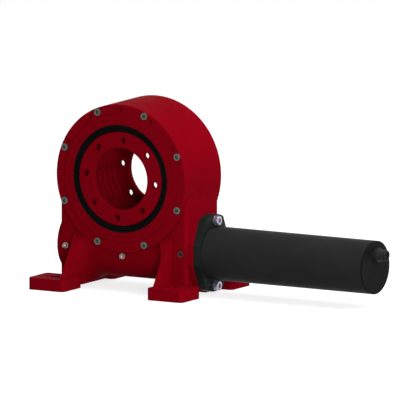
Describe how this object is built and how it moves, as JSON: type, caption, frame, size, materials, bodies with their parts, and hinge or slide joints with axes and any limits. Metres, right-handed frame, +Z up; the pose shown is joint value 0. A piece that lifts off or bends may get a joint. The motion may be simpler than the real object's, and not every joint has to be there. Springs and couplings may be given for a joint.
{
  "type": "solar slew drive",
  "caption": "Worm-driven slewing ring with a through bore, four bolted feet and a tubular gear motor, for turning a solar tracker's torque tube.",
  "frame": {"origin": "on the output axis, half way through the output ring", "axes": "+Y along the output axis towards the rear, +X along the worm axis towards the gear motor, +Z up from the feet"},
  "size_m": [0.5181, 0.187, 0.2605],
  "materials": {
    "red_paint": "satin",
    "black_rubber": "matte",
    "grey_screw": "satin",
    "zinc_steel": "satin",
    "dark_steel": "satin",
    "bearing_steel": "polished",
    "brass_cage": "satin",
    "machined_steel": "satin",
    "black_paint": "satin",
    "black_plastic": "matte",
    "contact_brass": "polished"
  },
  "bodies": {
    "housing_assembly": {"housing": "red_paint", "front_cover": "red_paint", "cover_screws": "grey_screw", "front_seal": "black_rubber", "rear_seal": "black_rubber", "front_outer_race": "bearing_steel", "rear_outer_race": "bearing_steel", "left_bearing_cup": "bearing_steel", "right_bearing_cup": "bearing_steel", "preload_shim": "machined_steel", "worm_end_cap": "red_paint", "cap_o_ring": "black_rubber", "cap_screws": "grey_screw", "seal_spacer": "machined_steel", "worm_oil_seal": "black_rubber", "left_grease_nipple": "zinc_steel", "centre_grease_nipple": "zinc_steel", "oil_plug": "dark_steel", "motor_flange": "black_paint", "flange_o_ring": "black_rubber", "flange_screws": "zinc_steel", "motor_tube": "black_paint", "gearbox_cartridge": "machined_steel", "gearbox_screws": "grey_screw", "motor_can": "machined_steel", "motor_end_plate": "black_paint", "connector_body": "black_plastic", "connector_nut": "black_plastic", "connector_pins": "contact_brass"},
    "output": {"output_ring": "red_paint", "worm_wheel": "machined_steel", "front_inner_race": "bearing_steel", "rear_inner_race": "bearing_steel"},
    "worm": {"worm_shaft": "machined_steel", "left_bearing_cone": "bearing_steel", "right_bearing_cone": "bearing_steel", "worm_locknut": "machined_steel", "motor_shaft": "machined_steel", "shaft_key": "machined_steel"},
    "front_ball_set": {"front_balls": "bearing_steel", "front_cage": "brass_cage"},
    "rear_ball_set": {"rear_balls": "bearing_steel", "rear_cage": "brass_cage"},
    "left_roller_set": {"left_rollers": "bearing_steel", "left_roller_cage": "brass_cage"},
    "right_roller_set": {"right_rollers": "bearing_steel", "right_roller_cage": "brass_cage"}
  },
  "joints": [
    {"name": "output_spin", "type": "hinge", "parent": "housing_assembly", "child": "output", "pos_m": [0, 0, 0], "axis": [0, 1, 0], "continuous": true},
    {"name": "worm_spin", "type": "hinge", "parent": "housing_assembly", "child": "worm", "pos_m": [0, 0, -0.1], "axis": [1, 0, 0], "continuous": true},
    {"name": "front_balls_spin", "type": "hinge", "parent": "housing_assembly", "child": "front_ball_set", "pos_m": [0, 0, 0], "axis": [0, 1, 0], "continuous": true},
    {"name": "rear_balls_spin", "type": "hinge", "parent": "housing_assembly", "child": "rear_ball_set", "pos_m": [0, 0, 0], "axis": [0, 1, 0], "continuous": true},
    {"name": "left_rollers_spin", "type": "hinge", "parent": "housing_assembly", "child": "left_roller_set", "pos_m": [0, 0, -0.1], "axis": [1, 0, 0], "continuous": true},
    {"name": "right_rollers_spin", "type": "hinge", "parent": "housing_assembly", "child": "right_roller_set", "pos_m": [0, 0, -0.1], "axis": [1, 0, 0], "continuous": true}
  ],
  "couplings": [
    {"joint": "worm_spin", "follows": "output_spin", "ratio": 62},
    {"joint": "front_balls_spin", "follows": "output_spin", "ratio": 0.46954},
    {"joint": "rear_balls_spin", "follows": "output_spin", "ratio": 0.46954},
    {"joint": "left_rollers_spin", "follows": "output_spin", "ratio": 26.275},
    {"joint": "right_rollers_spin", "follows": "output_spin", "ratio": 26.275}
  ]
}
